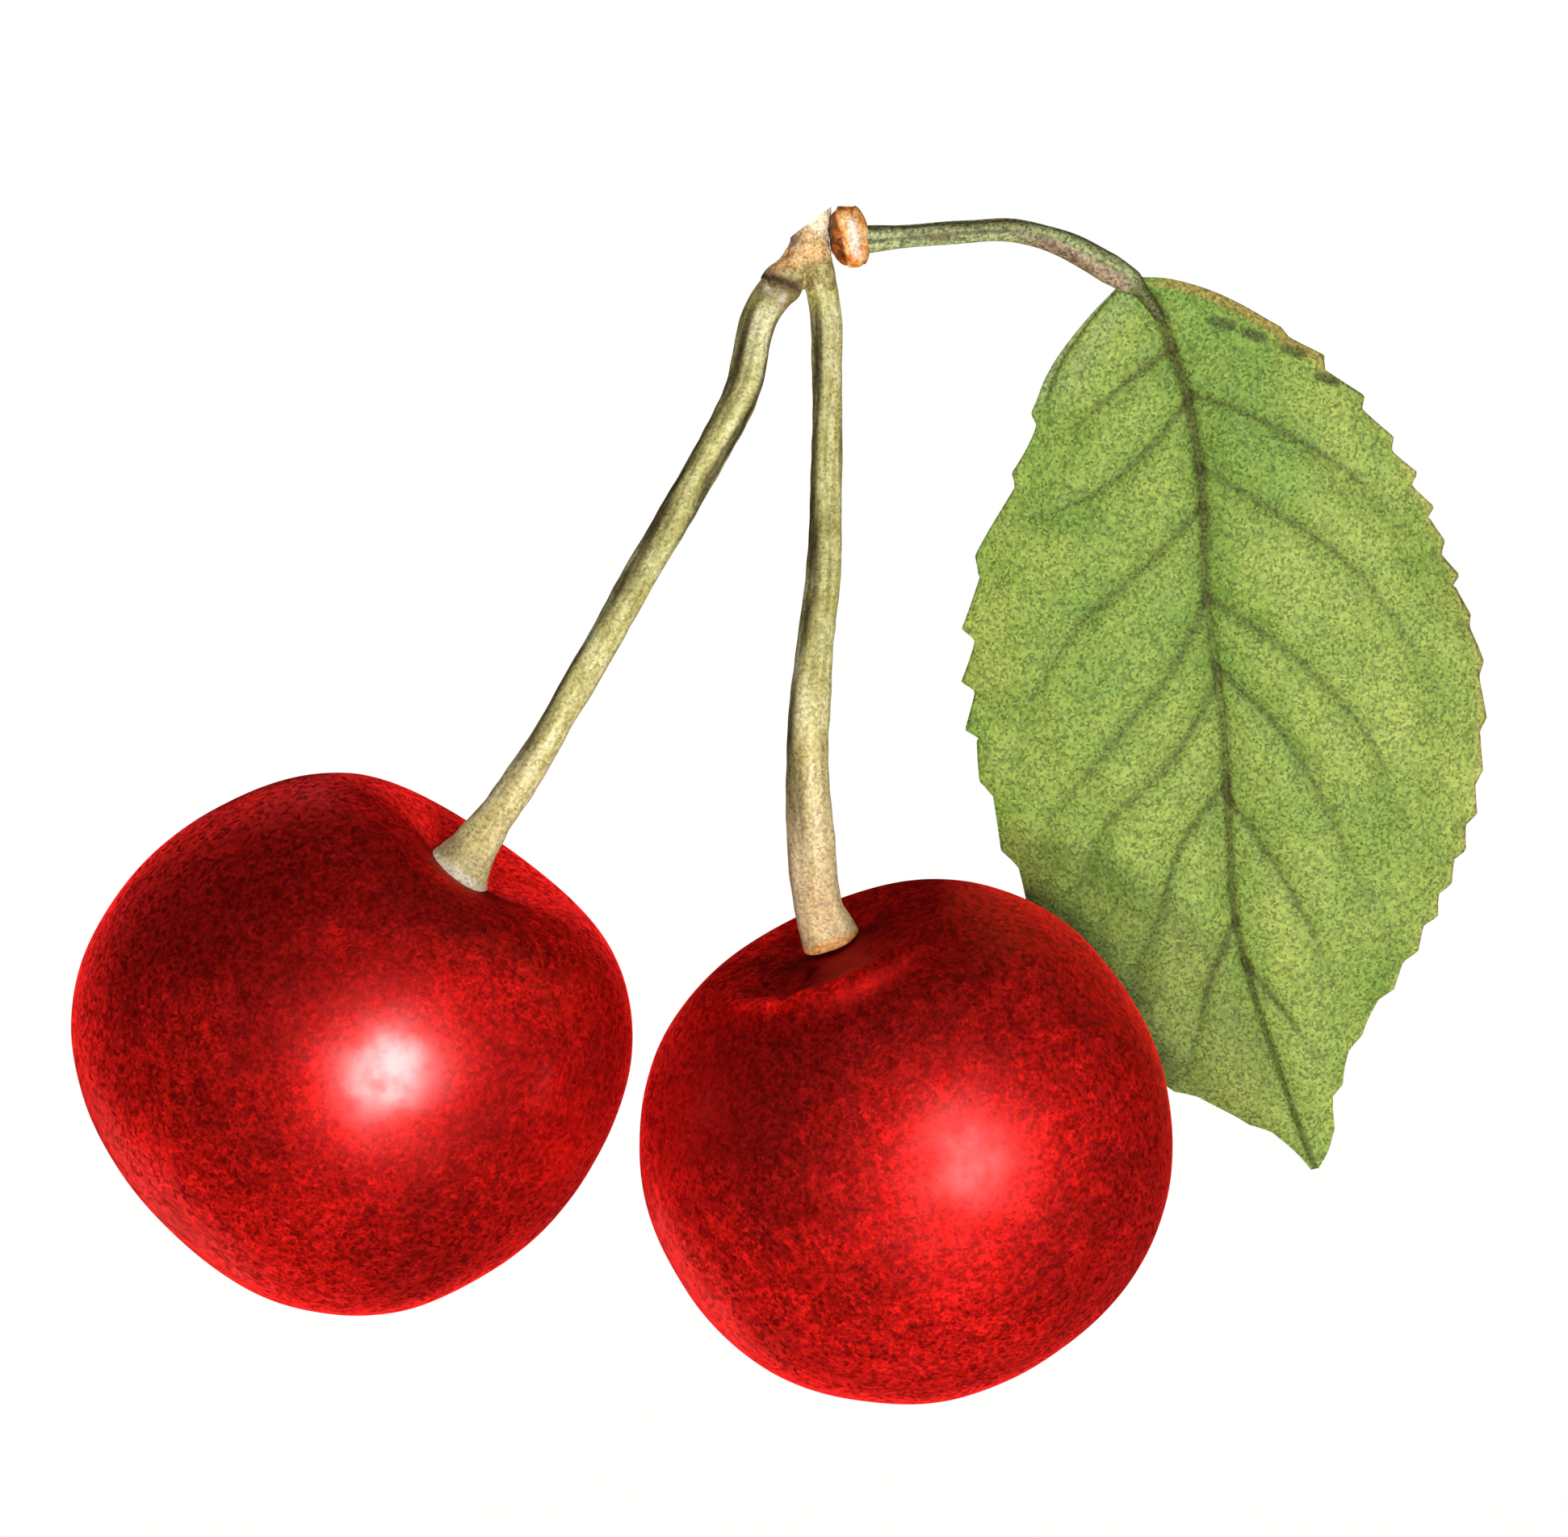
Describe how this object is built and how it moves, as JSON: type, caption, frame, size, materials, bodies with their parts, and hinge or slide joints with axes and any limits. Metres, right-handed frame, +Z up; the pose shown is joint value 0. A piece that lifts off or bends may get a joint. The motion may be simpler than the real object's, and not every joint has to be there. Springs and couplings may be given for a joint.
{
  "type": "pair of cherries on stalks",
  "caption": "Two ripe sweet cherries on long curved stalks with one toothed leaf, hanging from a short woody spur.",
  "frame": {"origin": "middle of the cut face where the spur left its twig", "axes": "+Z up as the fruit hangs, +X towards the leaf, -Y the side that the leaf's upper face looks to"},
  "size_m": [0.0706, 0.0253, 0.0593],
  "materials": {
    "cherry_skin": "thin glossy fruit skin, deep red with fine darker speckle and a bright red bloom round the highlight",
    "stalk": "satin olive-tan stalk, lighter down the middle, darker along its edges",
    "spur_bark": "matt tan and cream bark with dark brown collars",
    "bud_scale": "smooth orange-brown bud scales",
    "petiole": "satin grey-green stalk with a groove along it",
    "leaf": "soft matt leaf, mottled light and mid green with olive-brown veins"
  },
  "bodies": {
    "root": {"cherry_left": "cherry_skin", "cherry_right": "cherry_skin", "stalk_left": "stalk", "stalk_right": "stalk", "spur": "spur_bark", "bud": "bud_scale", "petiole": "petiole", "leaf_blade": "leaf"}
  },
  "joints": []
}
